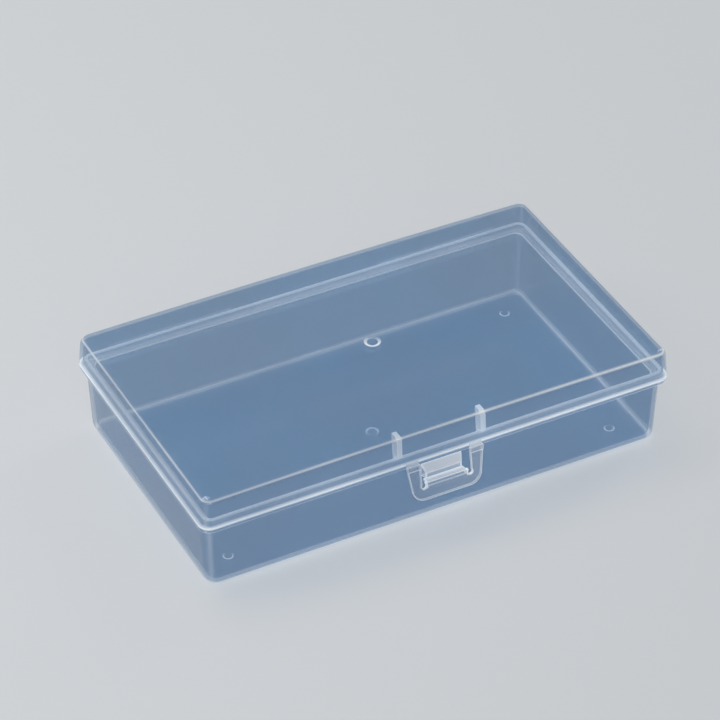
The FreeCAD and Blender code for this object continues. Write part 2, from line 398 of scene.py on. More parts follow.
class CraftBox(PropertyGroup):
    """All settings of the box."""

    box: PointerProperty(type=BoxSizes, name="Box", description="Sizes of tray and lid")
    marks: PointerProperty(type=MarkSizes, name="Marks", description="Moulding marks")
    latch: PointerProperty(type=LatchSizes, name="Latch", description="Sizes of the latch")
    finish: PointerProperty(type=FinishSettings, name="Finish", description="Plastic")
    stage: PointerProperty(type=StageSettings, name="Stage", description="Floor, lamps, camera")


def settings():
    """Settings of the box in the open scene."""
    return bpy.context.scene.craft_box


# Meshes

def outline(bm, inset, corner, z):
    """Ring of edges: a rectangle inset from the lid's outline, with round corners."""
    sizes = settings().box
    x = HALF_LENGTH - inset
    y = HALF_WIDTH - inset
    places = [(x, -y, z), (x, y, z), (-x, y, z), (-x, -y, z)]
    corners = [bm.verts.new(place) for place in places]
    bm.faces.new(corners)
    rounded = bmesh.ops.bevel(
        bm, geom=corners, offset=corner, offset_type="OFFSET", segments=sizes.arc_steps,
        profile=0.5, affect="VERTICES", material=-1,
    )
    face = rounded["verts"][0].link_faces[0]
    straight = sorted(face.edges, key=lambda edge: edge.calc_length())[-4:]
    bmesh.ops.subdivide_edges(bm, edges=straight, cuts=sizes.side_cuts)
    ring = list(face.edges)
    bmesh.ops.delete(bm, geom=[face], context="FACES_ONLY")
    return ring


def fillet(inset, corner, z, radius, start, stop, milk_and_highlight, steps=4, keen=0):
    """Levels along a quarter round, given by the centre of its arc; angles turn from outside up.

    Milk and painted highlight are strongest in the middle of the round, and the higher keen is, the narrower
    is their line.
    """
    levels = []
    for step in range(steps + 1):
        angle = start + (stop - start) * step / steps
        reach = radius * math.cos(angle)
        line = max(0, math.sin(math.pi * step / steps)) ** keen
        levels.append((inset - reach, corner + reach, z + radius * math.sin(angle), milk_and_highlight * line))
    return levels


def corner_painted_highlight(place, inset, corner):
    """Painted highlight in an upright corner of a shell, brightest in the middle of its round."""
    most, keen, least_corner = 0.25, 8, 2.5 * MM
    along = abs(place.x) - (HALF_LENGTH - inset - corner)
    across = abs(place.y) - (HALF_WIDTH - inset - corner)
    if corner <= least_corner or inset >= FLAT_INSETS[0] or min(along, across) <= 0:
        return 0
    return most * math.sin(2 * math.atan2(across, along)) ** keen


def shell(name, levels):
    """Closed moulding through a row of levels, capped at its first and last one.

    A level is (inset, corner radius, height, milk and painted highlight). The rings are joined while they
    stand in a stack, because nested rings at one height join twisted.
    """
    bm = bmesh.new()
    bright = bm.verts.layers.float.new(EDGE)
    rings = [outline(bm, level[0], level[1], tier) for tier, level in enumerate(levels)]
    for ring, following in zip(rings, rings[1:]):
        bmesh.ops.bridge_loops(bm, edges=ring + following)
    for ring, (inset, corner, z, milk_and_highlight) in zip(rings, levels):
        for vert in {vert for edge in ring for vert in edge.verts}:
            vert.co.z = z
            vert[bright] = max(milk_and_highlight, corner_painted_highlight(vert.co, inset, corner))
    bmesh.ops.edgeloop_fill(bm, edges=rings[0])
    bmesh.ops.edgeloop_fill(bm, edges=rings[-1])
    bmesh.ops.recalc_face_normals(bm, faces=bm.faces)
    return finished(name, bm)


def outlined(bm, milk_and_highlight, rim=0.25 * MM):
    """Make a small part cloudy: some milky haze on its flat faces, and a painted white highlight along their
    rims.
    """
    bright = bm.verts.layers.float.new(EDGE)
    for vert in bm.verts:
        vert[bright] = 1
    least_width = 2.2 * rim
    flats = [
        face for face in bm.faces
        if face.calc_area() > least_width * max(edge.calc_length() for edge in face.edges)
    ]
    bmesh.ops.inset_region(bm, faces=flats, thickness=rim, use_even_offset=True)
    for face in flats:
        for vert in face.verts:
            vert[bright] = milk_and_highlight


def finished(name, bm):
    """Object from a bmesh, smooth but for its sharp edges."""
    smooth_angle = math.radians(40)
    mesh = bpy.data.meshes.new(name)
    for face in bm.faces:
        face.smooth = True
    for edge in bm.edges:
        edge.smooth = len(edge.link_faces) == 2 and edge.calc_face_angle() < smooth_angle
    bm.to_mesh(mesh)
    bm.free()
    piece = bpy.data.objects.new(name, mesh)
    bpy.context.scene.collection.objects.link(piece)
    weighted = piece.modifiers.new("Weighted Normal", "WEIGHTED_NORMAL")
    weighted.keep_sharp = True
    weighted.weight = 80
    return piece


def dress(piece, body, *nodes):
    """Give a piece its body, the nodes it stands for and its plastic."""
    piece.data.materials.append(plastic())
    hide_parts(*nodes)
    if body:
        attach(piece, body)
    return piece


def tray_outside_levels():
    """Profile from the middle of the tray's underside, out and up to the top of its flange."""
    sizes = settings().box
    soft = sizes.edge_break
    foot_inset = sizes.wall_foot_inset + sizes.floor_fillet
    foot_corner = sizes.wall_corner - sizes.floor_fillet
    flange_inset = HALF_LENGTH - TRAY_HIGH.x
    under = sizes.rim_round
    under_inset = flange_inset + under
    under_corner = sizes.lid_corner - under
    under_z = sizes.rim_bottom + under
    rim_corner = sizes.lid_corner - soft
    # The flat top of the flange is painted lighter, as lit from above.
    side_milk, top_milk_and_painted_light = 0.05, 0.25
    levels = [(inset, FLAT_CORNER, 0, 0) for inset in reversed(FLAT_INSETS)]
    levels += [(foot_inset + soft, foot_corner, 0, 0)]
    # The round at the foot of the tray carries a thin painted highlight line.
    levels += reversed(fillet(
        foot_inset, foot_corner, sizes.floor_fillet, sizes.floor_fillet, 0, -QUARTER,
        milk_and_highlight=0.6, steps=sizes.fillet_steps, keen=8,
    ))
    levels += [
        (sizes.wall_top_inset, sizes.wall_corner, sizes.rim_bottom - MM, 0),
        (sizes.wall_top_inset, sizes.wall_corner, sizes.rim_bottom, 0.2),
        (under_inset + soft / 2, under_corner, sizes.rim_bottom, 0.1),
    ]
    # The round under the flange carries a painted highlight line.
    levels += fillet(
        under_inset, under_corner, under_z, under, -QUARTER, 0, milk_and_highlight=0.6, steps=6, keen=2
    )
    levels += [
        (flange_inset, sizes.lid_corner, under_z + soft / 2, side_milk),
        (flange_inset, sizes.lid_corner, sizes.rim_top - 1.6 * soft, side_milk),
    ]
    # The round on top of the flange carries a bright painted highlight line.
    levels += fillet(
        flange_inset + soft, rim_corner, sizes.rim_top - soft, soft, 0, QUARTER, milk_and_highlight=0.9
    )
    levels += [
        (flange_inset + 2 * soft, rim_corner, sizes.rim_top, top_milk_and_painted_light),
        (sizes.upstand_inset, sizes.upstand_corner, sizes.rim_top, top_milk_and_painted_light),
    ]
    return levels


def upstand_levels():
    """Profile up the outside of the upstand, over it and down its inside."""
    sizes = settings().box
    soft = sizes.edge_break
    outside, outside_corner = sizes.upstand_inset, sizes.upstand_corner
    inside = outside + sizes.upstand_wall
    inside_corner = outside_corner - sizes.upstand_wall
    round_z = UPSTAND_TOP_Z - soft
    side_z = UPSTAND_TOP_Z - 1.8 * soft
    side_milk, foot_milk = 0.25, 0.3
    levels = [(outside, outside_corner, side_z, side_milk)]
    # The round over the upstand's top carries a painted white highlight line.
    levels += fillet(
        outside + soft, outside_corner - soft, round_z, soft, 0, QUARTER, milk_and_highlight=1
    )
    levels += fillet(
        inside - soft, inside_corner + soft, round_z, soft, QUARTER, 2 * QUARTER, milk_and_highlight=1
    )
    levels += [
        (inside, inside_corner, side_z, side_milk),
        (inside, inside_corner, sizes.rim_top, foot_milk),
    ]
    return levels


def tray_inside_levels():
    """Profile over the inner ledge, down the inside of the tray and in to its middle."""
    sizes = settings().box
    soft = sizes.edge_break
    wall_top = sizes.wall_top_inset + sizes.wall
    wall_corner = sizes.wall_corner - sizes.wall
    round_size = sizes.floor_fillet - sizes.wall
    floor_inset = sizes.wall_foot_inset + sizes.wall + round_size
    floor_corner = wall_corner - round_size
    upstand_inside = sizes.upstand_inset + sizes.upstand_wall
    ledge, ledge_corner = sizes.ledge_inset, sizes.ledge_corner
    # The ledge's flat top is painted lighter, as lit from above, and its edge carries a painted white
    # highlight.
    top_milk_and_painted_light, edge_highlight, side_milk, ramp_whiteness = 0.35, 1, 0.1, 0.15
    levels = [
        (upstand_inside + 2 * soft, ledge_corner, sizes.rim_top, top_milk_and_painted_light),
        (ledge - 1.5 * soft, ledge_corner, sizes.rim_top, top_milk_and_painted_light),
        (ledge - soft, ledge_corner, sizes.rim_top, edge_highlight),
        (ledge - soft / 3, ledge_corner, sizes.rim_top - soft / 3, edge_highlight),
        (ledge, ledge_corner, sizes.rim_top - soft, edge_highlight),
        (ledge, ledge_corner, sizes.rim_top - 1.5 * soft, side_milk),
        (ledge, ledge_corner, sizes.rim_bottom, ramp_whiteness),
        (wall_top, wall_corner, sizes.ledge_ramp, ramp_whiteness),
        (wall_top, wall_corner, sizes.ledge_ramp - MM, 0),
    ]
    # The floor's inner round carries a narrow painted highlight line.
    levels += fillet(
        floor_inset, floor_corner, sizes.floor + round_size, round_size, 0, -QUARTER,
        milk_and_highlight=0.4, steps=sizes.fillet_steps, keen=12,
    )
    levels += [(floor_inset + soft, floor_corner, sizes.floor, 0)]
    levels += [(inset, FLAT_CORNER, sizes.floor, 0) for inset in FLAT_INSETS]
    return levels


def tray_levels():
    """Profile of the tray from the middle of its underside, up its outside and down its inside."""
    return tray_outside_levels() + upstand_levels() + tray_inside_levels()


def lid_levels():
    """Profile of the lid from the middle of its roof, down its outside and up its inside."""
    sizes = settings().box
    soft = sizes.edge_break / 2
    roof_inset = sizes.lid_draft + sizes.lid_fillet
    roof_corner = sizes.lid_corner - sizes.lid_fillet
    inner_corner = sizes.lid_corner - sizes.lid_wall
    round_size = sizes.lid_fillet - sizes.lid_wall
    ceiling = HEIGHT - sizes.lid_roof
    ceiling_inset = sizes.lid_wall + sizes.lid_draft + round_size
    ceiling_corner = inner_corner - round_size
    low_z = LID_EDGE_Z + 0.3 * MM
    low_lean = 0.02 * MM
    # The skirt's lower edge carries painted highlight lines, brightest outside.
    side_milk, edge_highlight, inner_edge_highlight = 0.05, 1, 0.5
    levels = [(inset, FLAT_CORNER, HEIGHT, 0) for inset in reversed(FLAT_INSETS)]
    levels += [(roof_inset + 2 * soft, roof_corner, HEIGHT, 0)]
    # The top round carries a narrow painted highlight line.
    levels += reversed(fillet(
        roof_inset, roof_corner, HEIGHT - sizes.lid_fillet, sizes.lid_fillet, 0, QUARTER,
        milk_and_highlight=1, steps=sizes.fillet_steps, keen=24,
    ))
    levels += [
        (low_lean, sizes.lid_corner, low_z, side_milk),
        (0, sizes.lid_corner, LID_EDGE_Z + soft, edge_highlight),
        (soft, sizes.lid_corner - soft, LID_EDGE_Z, edge_highlight),
        (sizes.lid_wall - soft, inner_corner + soft, LID_EDGE_Z, inner_edge_highlight),
        (sizes.lid_wall, inner_corner, LID_EDGE_Z + soft, inner_edge_highlight),
        (sizes.lid_wall + low_lean, inner_corner, low_z, side_milk),
    ]
    levels += fillet(
        ceiling_inset, ceiling_corner, ceiling - round_size, round_size, 0, QUARTER,
        milk_and_highlight=0.1, steps=sizes.fillet_steps, keen=8,
    )
    levels += [(ceiling_inset + 2 * soft, ceiling_corner, ceiling, 0)]
    levels += [(inset, FLAT_CORNER, ceiling, 0) for inset in FLAT_INSETS]
    return levels


def crown(piece):
    """Lower the roof a little towards its short ends, where the moulding has shrunk.

    The lowest third of the lid stays as it is.
    """
    sizes = settings().box
    start = LID_EDGE_Z + (HEIGHT - LID_EDGE_Z) / 3
    for vert in piece.data.vertices:
        rise = max(0.0, (vert.co.z - start) / (HEIGHT - start))
        vert.co.z -= sizes.lid_crown * rise * (vert.co.x / HALF_LENGTH) ** 2


def mark_cutter(discs):
    """Object of short pegs; each has a rounded inner rim and two rings in its inner cap."""
    sides = 48
    rim_share, ring_shares = 0.6, (0.12, 0.05)
    cutter = bmesh.new()
    for x, y, z, diameter, depth in discs:
        made = bmesh.ops.create_cone(
            cutter, cap_ends=True, segments=sides, radius1=diameter / 2, radius2=diameter / 2,
            depth=2 * abs(depth), matrix=Matrix.Translation((x, y, z)),
        )
        deep = [vert for vert in made["verts"] if (z - vert.co.z) / depth > 0]
        rims = [edge for edge in cutter.edges if all(vert in deep for vert in edge.verts)]
        bmesh.ops.bevel(
            cutter, geom=rims, offset=abs(depth) * rim_share, offset_type="OFFSET", segments=3,
            profile=0.5, affect="EDGES", material=-1,
        )
        cap = [
            face for face in cutter.faces
            if len(face.verts) == sides and face.normal.z * depth < 0
            and (face.calc_center_median().xy - Vector((x, y))).length < diameter / 4
        ]
        for share in ring_shares:
            bmesh.ops.inset_region(cutter, faces=cap, thickness=diameter * share)
    mesh = bpy.data.meshes.new("mark_cutter")
    cutter.to_mesh(mesh)
    cutter.free()
    tool = bpy.data.objects.new("mark_cutter", mesh)
    bpy.context.scene.collection.objects.link(tool)
    return tool


def mark_painted_highlight(piece, discs):
    """Paint a highlight along the rim of each mark, most of it on one side as a crescent, and none in its
    middle.
    """
    clear_reach, rim_reach = 0.34, 0.52
    least_depth, most_depth = 0.2, 2
    middling, swing, most = 0.8, 1.6, 1.2
    bright = piece.data.attributes[EDGE].data
    for x, y, z, diameter, depth in discs:
        for vert, glow in zip(piece.data.vertices, bright):
            away = (vert.co.xy - Vector((x, y))) / diameter
            sunk_share = (z - vert.co.z) / depth
            if away.length < rim_reach and least_depth < sunk_share < most_depth:
                side = MARK_HIGHLIGHT_SIDE.dot(away) * math.copysign(1, depth)
                milk_and_highlight = max(0, min(most, middling + swing * side))
                glow.value = milk_and_highlight if away.length > clear_reach else 0


def sunk(piece, discs):
    """Press shallow round marks into a piece; each disc is (x, y, face height, diameter, depth).

    A mark with a negative depth is pressed upwards, into an underside.
    """
    tool = mark_cutter(discs)
    carving = piece.modifiers.new("Marks", "BOOLEAN")
    carving.operation = "DIFFERENCE"
    carving.solver = "EXACT"
    carving.object = tool
    bpy.context.view_layer.objects.active = piece
    bpy.ops.object.modifier_move_to_index(modifier="Marks", index=0)
    bpy.ops.object.modifier_apply(modifier="Marks")
    mesh = tool.data
    bpy.data.objects.remove(tool)
    bpy.data.meshes.remove(mesh)
    mark_painted_highlight(piece, discs)


def prism(points, draw):
    """Bar whose flat outline goes through points, drawn out along one vector."""
    bm = bmesh.new()
    face = bm.faces.new([bm.verts.new(point) for point in points])
    pull(bm, [face], draw)
    bmesh.ops.recalc_face_normals(bm, faces=bm.faces)
    return bm


def pull(bm, faces, draw):
    """Draw faces out along one vector, and return their moved corners.

    A flat outline keeps its own face as the back of the new solid; faces of a solid leave none.
    """
    solid = all(len(edge.link_faces) == 2 for face in faces for edge in face.edges)
    drawn = bmesh.ops.extrude_face_region(bm, geom=faces)
    if solid:
        bmesh.ops.delete(bm, geom=faces, context="FACES")
    moved = [item for item in drawn["geom"] if isinstance(item, bmesh.types.BMVert)]
    bmesh.ops.translate(bm, verts=moved, vec=draw)
    return moved


def slice_at(bm, place, normal):
    """Cut all faces along a plane, without parting them."""
    bmesh.ops.bisect_plane(
        bm, geom=bm.verts[:] + bm.edges[:] + bm.faces[:], dist=1e-7, plane_co=place, plane_no=normal
    )


def soften(bm, radius, steps=3):
    """Round every edge that turns by more than a small angle."""
    least_turn = math.radians(30)
    sharp = [
        edge for edge in bm.edges
        if len(edge.link_faces) == 2 and edge.calc_face_angle() > least_turn
    ]
    bmesh.ops.bevel(
        bm, geom=sharp, offset=radius, offset_type="OFFSET", segments=steps, profile=0.5,
        affect="EDGES", clamp_overlap=True, material=-1,
    )


class CRAFTBOX_OT_tray(Operator):
    """Build the tray shell with its flange, upstand, ledge and moulding marks"""

    bl_idname = "craftbox.tray"
    bl_label = "Tray"

    def execute(self, context):
        marks = settings().marks
        floor = settings().box.floor
        tray = shell("tray_shell", tray_levels())
        ejectors = [
            (x, y, floor, marks.ejector, marks.ejector_depth)
            for x in (-marks.ejector_x, marks.ejector_x)
            for y in (-marks.ejector_y, marks.ejector_y)
        ]
        sunk(tray, [(0, 0, 0, marks.tray_gate, -marks.gate_depth), *ejectors])
        dress(tray, "tray", "base_tray")
        return {"FINISHED"}


class CRAFTBOX_OT_lid(Operator):
    """Build the lid shell with its crowned roof, painted highlight along its top edge and gate mark"""

    bl_idname = "craftbox.lid"
    bl_label = "Lid"

    def execute(self, context):
        lid = shell("lid_shell", lid_levels())
        marks = settings().marks
        # Painted highlight along the top round: brighter on the right, where the lamps fall, and dimmer on
        # the left.
        highlight_left_share, highlight_right_share = 0.5, 1.0  # the top edge is brighter on the right
        for vert, glow in zip(lid.data.vertices, lid.data.attributes[EDGE].data):
            if vert.co.z > HEIGHT - settings().box.lid_fillet:
                across = (vert.co.x / HALF_LENGTH + 1) / 2
                glow.value *= highlight_left_share + (highlight_right_share - highlight_left_share) * across
        sunk(lid, [(0, 0, HEIGHT, marks.lid_gate, marks.gate_depth)])
        crown(lid)
        dress(lid, "lid", "lid_cover")
        return {"FINISHED"}


def wall_y(z):
    """Outer face of the tray's front wall at height z."""
    sizes = settings().box
    lean = sizes.wall_top_inset - sizes.wall_foot_inset
    return -(HALF_WIDTH - sizes.wall_foot_inset - lean * z / sizes.rim_bottom)


class CRAFTBOX_OT_catch(Operator):
    """Build the wedge on the tray front that the latch snaps under"""

    bl_idname = "craftbox.catch"
    bl_label = "Catch"

    def execute(self, context):
        low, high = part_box("front_catch")
        latch = settings().latch
        overlap = 0.05 * MM
        face_milk, ramp_whiteness, ramp_slope = 0.25, 0.85, 0.2
        root = [(-high.x, low.z), (high.x, low.z), (high.x, high.z), (-high.x, high.z)]
        bm = bmesh.new()
        face = bm.faces.new([bm.verts.new((x, wall_y(z) + overlap, z)) for x, z in root])
        for vert in pull(bm, [face], (0, low.y - wall_y(low.z), 0)):
            vert.co.x -= math.copysign(latch.catch_taper, vert.co.x)
            vert.co.y = low.y
            vert.co.z = min(vert.co.z, latch.catch_ridge)
        bmesh.ops.recalc_face_normals(bm, faces=bm.faces)
        soften(bm, settings().box.edge_break, 4)
        outlined(bm, face_milk)
        bright = bm.verts.layers.float[EDGE]
        # Painted highlight: upward faces of the ramp are lighter, as light from above falls on them.
        for face in bm.faces:
            if face.normal.z > ramp_slope:
                for vert in face.verts:
                    vert[bright] = max(vert[bright], ramp_whiteness)
        dress(finished("catch", bm), "tray", "front_catch")
        return {"FINISHED"}


def rib_outline():
    """Side view of a rib as (y, z) points, from its notch over the upstand to the lid wall."""
    sizes = settings().box
    latch = settings().latch
    wall = -(HALF_WIDTH - sizes.lid_wall)
    low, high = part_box("latch_rib_left")
    notch_z = UPSTAND_TOP_Z + latch.rib_clearance
    notch_y = -(HALF_WIDTH - sizes.upstand_inset - sizes.upstand_wall) + latch.rib_clearance
    return [
        (wall, notch_z), (notch_y, notch_z), (notch_y, low.z),
        (wall + latch.rib_foot, low.z), (high.y, high.z), (wall + sizes.lid_draft, high.z),
    ]


class CRAFTBOX_OT_ribs(Operator):
    """Build the two gussets inside the lid front"""

    bl_idname = "craftbox.ribs"
    bl_label = "Ribs"

    def execute(self, context):
        rounding = settings().box.edge_break * 0.8
        # Milky ribs, with painted white highlights along their rims.
        milk_and_highlight = 0.9
        for side in ("left", "right"):
            low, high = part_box("latch_rib_" + side)
            side_view = [(low.x, y, z) for y, z in rib_outline()]
            bm = prism(side_view, (high.x - low.x, 0, 0))
            soften(bm, rounding)
            outlined(bm, milk_and_highlight)
            rib = finished("rib_" + side, bm)
            dress(rib, "lid", "latch_rib_" + side)
        return {"FINISHED"}


def tab_outline():
    """Half outline of the tab as (x, drop, corner radius), from the tongue out to the foot."""
    latch = settings().latch
    inner = latch.slot_x - latch.slot_width / 2
    outer = latch.slot_x + latch.slot_width / 2
    near = latch.slot_x - latch.keyhole
    far = latch.slot_x + latch.keyhole
    end = latch.keyhole_drop + latch.keyhole
    neck = latch.keyhole_drop - latch.keyhole
    round_end = latch.keyhole * 0.98  # two full rounds would meet in one point
    soft = 0.35 * MM
    return [
        (inner, latch.tongue_drop, soft / 2), (inner, neck, 0),
        (near, latch.keyhole_drop - soft, 0), (near, end, round_end),
        (far, end, round_end), (far, latch.keyhole_drop - soft, 0),
        (outer, neck, 0), (outer, latch.top_drop, soft),
        (latch.top_half, latch.top_drop, soft), (latch.foot_half, latch.length, latch.corner),
    ]


def tab_plate():
    """Flat tab with round corners and keyhole slots, upright under its hinge line."""
    latch = settings().latch
    right = tab_outline()
    whole = right + [(-x, drop, radius) for x, drop, radius in reversed(right)]
    bm = bmesh.new()
    corners = [bm.verts.new((x, latch.inner_offset, -drop)) for x, drop, radius in whole]
    bm.faces.new(corners)
    for radius in sorted({radius for x, drop, radius in whole if radius > 0}):
        chosen = [vert for vert, (x, drop, size) in zip(corners, whole) if size == radius]
        bmesh.ops.bevel(
            bm, geom=chosen, offset=radius, offset_type="OFFSET", segments=8, profile=0.5,
            affect="VERTICES", material=-1,
        )
    pull(bm, bm.faces[:], (0, -latch.thickness, 0))
    bmesh.ops.recalc_face_normals(bm, faces=bm.faces)
    return bm


def draw_shoulders_and_hook(bm, shoulder_z):
    """Draw the two shoulders out of the front of the tab, and the hook out of its back."""
    latch = settings().latch
    hook_z = -(latch.tongue_drop + latch.hook_height)
    squareness = 0.9
    slice_at(bm, (0, 0, shoulder_z), (0, 0, 1))
    slice_at(bm, (0, 0, hook_z), (0, 0, 1))
    for x in (-latch.hook_half, latch.hook_half):
        slice_at(bm, (x, 0, 0), (1, 0, 0))
    shoulders = [
        face for face in bm.faces
        if face.normal.y < -squareness and face.calc_center_median().z > shoulder_z
    ]
    pull(bm, shoulders, (0, -latch.shoulder_bulge, 0))
    root = [
        face for face in bm.faces
        if face.normal.y > squareness and abs(face.calc_center_median().x) < latch.hook_half
        and face.calc_center_median().z > hook_z
    ]
    for vert in pull(bm, root, (0, latch.hook_reach, 0)):
        vert.co.z = max(vert.co.z, -latch.tongue_drop - latch.hook_height / 4)
    bmesh.ops.recalc_face_normals(bm, faces=bm.faces)


def tab_milk_and_highlight(bm, shoulder_z):
    """Paint a white highlight round the tab's rims, keep its shoulders fairly clear and paint its upward
    faces lighter, as lit from above.
    """
    flat_milk, least_shoulder, half_whiteness = 0.18, 0.22, 0.5
    rim, seam = 0.28 * MM, 0.1 * MM
    upward = 0.7
    outlined(bm, flat_milk, rim)
    bright = bm.verts.layers.float[EDGE]
    for vert in bm.verts:
        if vert.co.z > shoulder_z + seam:
            vert[bright] = min(half_whiteness, max(vert[bright], least_shoulder))
    # Upward faces are painted lighter, as lit from above.
    for face in bm.faces:
        if face.normal.z > upward and face.calc_center_median().z < shoulder_z:
            for vert in face.verts:
                vert[bright] = max(vert[bright], half_whiteness)


class CRAFTBOX_OT_latch(Operator):
    """Build the tab with its shoulders and slots, and the tongue with its hook"""

    bl_idname = "craftbox.latch"
    bl_label = "Latch"

    def execute(self, context):
        latch = settings().latch
        shoulder_z = -(latch.top_drop + latch.shoulder)
        rounding = 0.22 * MM
        bm = tab_plate()
        draw_shoulders_and_hook(bm, shoulder_z)
        soften(bm, rounding)
        tab_milk_and_highlight(bm, shoulder_z)
        lean = Matrix.Rotation(-latch.lean, 4, "X")
        bmesh.ops.transform(bm, matrix=Matrix.Translation(TAB_PIVOT) @ lean, verts=bm.verts)
        dress(finished("latch", bm), "latch", "latch_tab", "latch_tongue")
        return {"FINISHED"}


class CRAFTBOX_OT_webs(Operator):
    """Build the two thin fold lines that the latch hangs from"""

    bl_idname = "craftbox.webs"
    bl_label = "Webs"

    def execute(self, context):
        latch = settings().latch
        milk_and_highlight = 0.3
        cuts = 6
        overlap = 0.05 * MM
        side_gap = 0.2 * MM
        lean = Matrix.Rotation(-latch.lean, 3, "X")
        middle = Vector((0, latch.inner_offset - latch.thickness / 2, -latch.top_drop))
        foot = TAB_PIVOT + lean @ middle
        half = latch.web / 2
        across = lean @ Vector((0, half, 0))
        lid_y = -HALF_WIDTH + overlap
        bottom = LID_EDGE_Z + 0.02 * MM
        top = LID_EDGE_Z + latch.web
        for side in ("left", "right"):
            low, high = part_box("latch_web_" + side)
            left, right = low.x + side_gap, high.x - side_gap
            lid_end = ((left, bottom), (right, bottom), (right, top), (left, top))
            bm = bmesh.new()
            face = bm.faces.new([bm.verts.new((x, lid_y, z)) for x, z in lid_end])
            for vert in pull(bm, [face], (0, foot.y + HALF_WIDTH, 0)):
                place = foot + (across if vert.co.z < LID_EDGE_Z + half else -across)
                vert.co.y = place.y
                vert.co.z = place.z - overlap
            long_edges = [
                edge for edge in bm.edges
                if abs(edge.verts[0].co.x - edge.verts[1].co.x) < 1e-6
                and abs(edge.verts[0].co.y - edge.verts[1].co.y) > 0.3 * MM
            ]
            bmesh.ops.subdivide_edges(bm, edges=long_edges, cuts=cuts, use_grid_fill=True)
            bmesh.ops.recalc_face_normals(bm, faces=bm.faces)
            bright = bm.verts.layers.float.new(EDGE)
            for vert in bm.verts:
                vert[bright] = milk_and_highlight
            web = finished("web_" + side, bm)
            dress(web, None, "latch_web_" + side)
            start = (0, -HALF_WIDTH - 0.1 * MM, LID_EDGE_Z)
            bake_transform(web, "lid", "latch", start=start, end=foot)
        return {"FINISHED"}


class CRAFTBOX_OT_straps(Operator):
    """Build the two thin straps that the lid swings on"""

    bl_idname = "craftbox.straps"
    bl_label = "Hinge Straps"

    def execute(self, context):
        rim_top = settings().box.rim_top
        slices = 16
        # Milky straps, with broad painted white highlights along their rims.
        milk_and_highlight, rim = 0.4, 0.6 * MM
        rounding = 0.1 * MM
        foot_gap = 0.15 * MM
        end_reach = 0.4 * MM
        inner = HALF_WIDTH - 0.07 * MM
        for side in ("left", "right"):
            low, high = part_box("hinge_strap_" + side)
            bottom = low.z + foot_gap
            corners = [
                (low.x, inner, bottom), (high.x, inner, bottom),
                (high.x, high.y, bottom), (low.x, high.y, bottom),
            ]
            bm = prism(corners, (0, 0, high.z - bottom))
            soften(bm, rounding, 2)
            outlined(bm, milk_and_highlight, rim)
            for step in range(1, slices):
                slice_at(bm, (0, 0, low.z + (high.z - low.z) * step / slices), (0, 0, 1))
            strap = finished("strap_" + side, bm)
            dress(strap, None, "hinge_strap_" + side)
            start = (0, HALF_WIDTH, rim_top - end_reach)
            end = (0, HALF_WIDTH, LID_EDGE_Z + end_reach)
            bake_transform(strap, "tray", "lid", start=start, end=end)
        return {"FINISHED"}


# Plastic

class NodeDesk:
    """Short ways to lay and link the nodes of one material."""

    def __init__(self, material):
        material.use_nodes = True
        self.nodes = material.node_tree.nodes
        self.links = material.node_tree.links
        self.nodes.clear()

    def lay(self, kind, **values):
        """New node; each value is set on the input of that name, or linked if it is an output."""
        node = self.nodes.new("ShaderNode" + kind)
        for name, value in values.items():
            self.give(node.inputs[name.replace("_", " ")], value)
        return node

    def give(self, socket, value):
        """Set an input to a value, or link it to an output."""
        if isinstance(value, bpy.types.NodeSocket):
            self.links.new(value, socket)
        else:
            socket.default_value = value

    def ramp(self, value, low, high, to_low, to_high):
        """Output that goes from to_low to to_high while value goes from low to high."""
        node = self.lay(
            "MapRange", Value=value, From_Min=low, From_Max=high, To_Min=to_low, To_Max=to_high
        )
        return node.outputs["Result"]

    def mixed(self, share, first, second):
        """Shader that is first, with a share of second."""
        node = self.lay("MixShader", Fac=share)
        self.links.new(first, node.inputs[1])
        self.links.new(second, node.inputs[2])
        return node.outputs[0]


def polished_wall(desk, flow, finish):
    """Tinted clear shader, glossier the more it is seen from the side, with a slight ripple."""
    square_on, edge_on, steepness = 0.04, 0.9, 5
    ripple = desk.lay("Bump", Strength=0.5, Distance=0.1 * MM, Height=flow)
    polish = desk.ramp(flow, 0, 1, finish.roughness * 0.7, finish.roughness * 1.4)
    wall = desk.lay("BsdfTransparent", Color=(*finish.clear_tint, 1))
    shine = desk.lay("BsdfGlossy", Roughness=polish, Normal=ripple.outputs["Normal"])
    steep = desk.nodes.new("ShaderNodeMath")
    steep.operation = "POWER"
    steep.inputs[1].default_value = steepness
    slant = desk.lay("LayerWeight")
    desk.links.new(slant.outputs["Facing"], steep.inputs[0])
    mirror = desk.ramp(steep.outputs["Value"], 0, 1, square_on, edge_on)
    return desk.mixed(mirror, wall.outputs[0], shine.outputs[0])


def gathered_milk_and_highlight(desk, place, flow, finish):
    """Value from 0 to 1: milky haze and painted highlights along edges, a little uneven, and in fine
    slanting scuffs.
    """
    along = desk.lay(
        "Mapping", Vector=place, Rotation=(0, 0, math.radians(35)), Scale=(60, 900, 300)
    )
    grain = desk.lay("TexNoise", Vector=along.outputs["Vector"], Scale=1, Detail=2)
    scuff = desk.ramp(grain.outputs["Fac"], 0.70, 0.78, 0, finish.scuffs)
    patchy = desk.ramp(flow, 0.35, 0.65, 0.75, 1.1)
    edge = desk.nodes.new("ShaderNodeAttribute")
    edge.attribute_name = EDGE
    gather = desk.nodes.new("ShaderNodeMath")
    gather.operation = "MULTIPLY_ADD"
    gather.use_clamp = True
    for socket, output in zip(gather.inputs, (edge.outputs["Fac"], patchy, scuff)):
        desk.links.new(output, socket)
    return gather.outputs["Value"]


